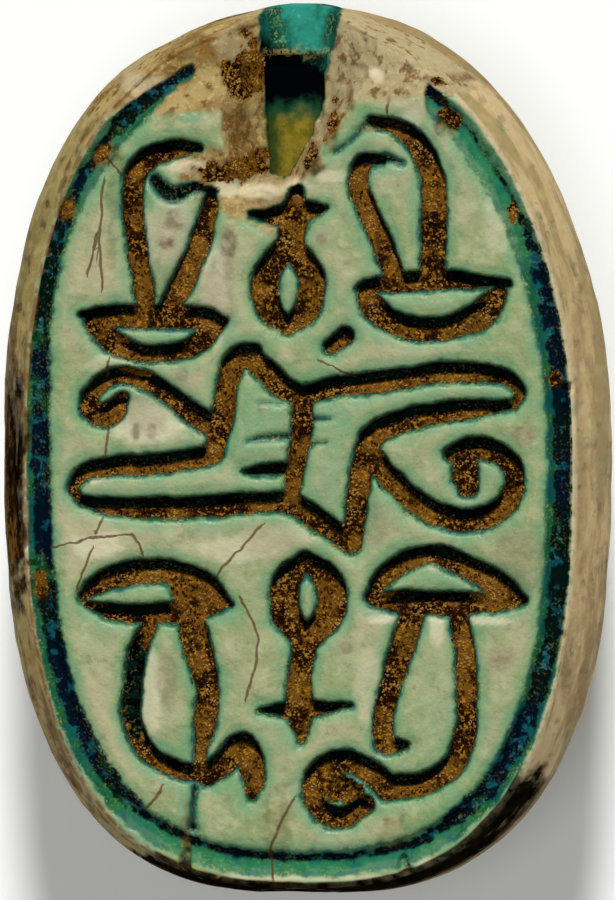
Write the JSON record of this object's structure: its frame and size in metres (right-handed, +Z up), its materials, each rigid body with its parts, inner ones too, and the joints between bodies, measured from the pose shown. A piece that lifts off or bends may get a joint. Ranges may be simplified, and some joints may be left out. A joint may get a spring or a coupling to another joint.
{
  "type": "scarab amulet",
  "caption": "Oval beetle-shaped amulet of glazed stone, drilled lengthwise for a string, with a carved flat face, broken at the head end.",
  "frame": {"origin": "middle of the small flat spot on the crown of the beetle's back, which the amulet lies on", "axes": "+Z up out of the carved face, +Y along the beetle towards its head, X across it"},
  "size_m": [0.0122, 0.018, 0.0078],
  "materials": {
    "glazed_steatite": "worn green-blue glaze over pale stone, brown earth in the carving"
  },
  "bodies": {
    "root": {"scarab": "glazed_steatite"}
  },
  "joints": []
}
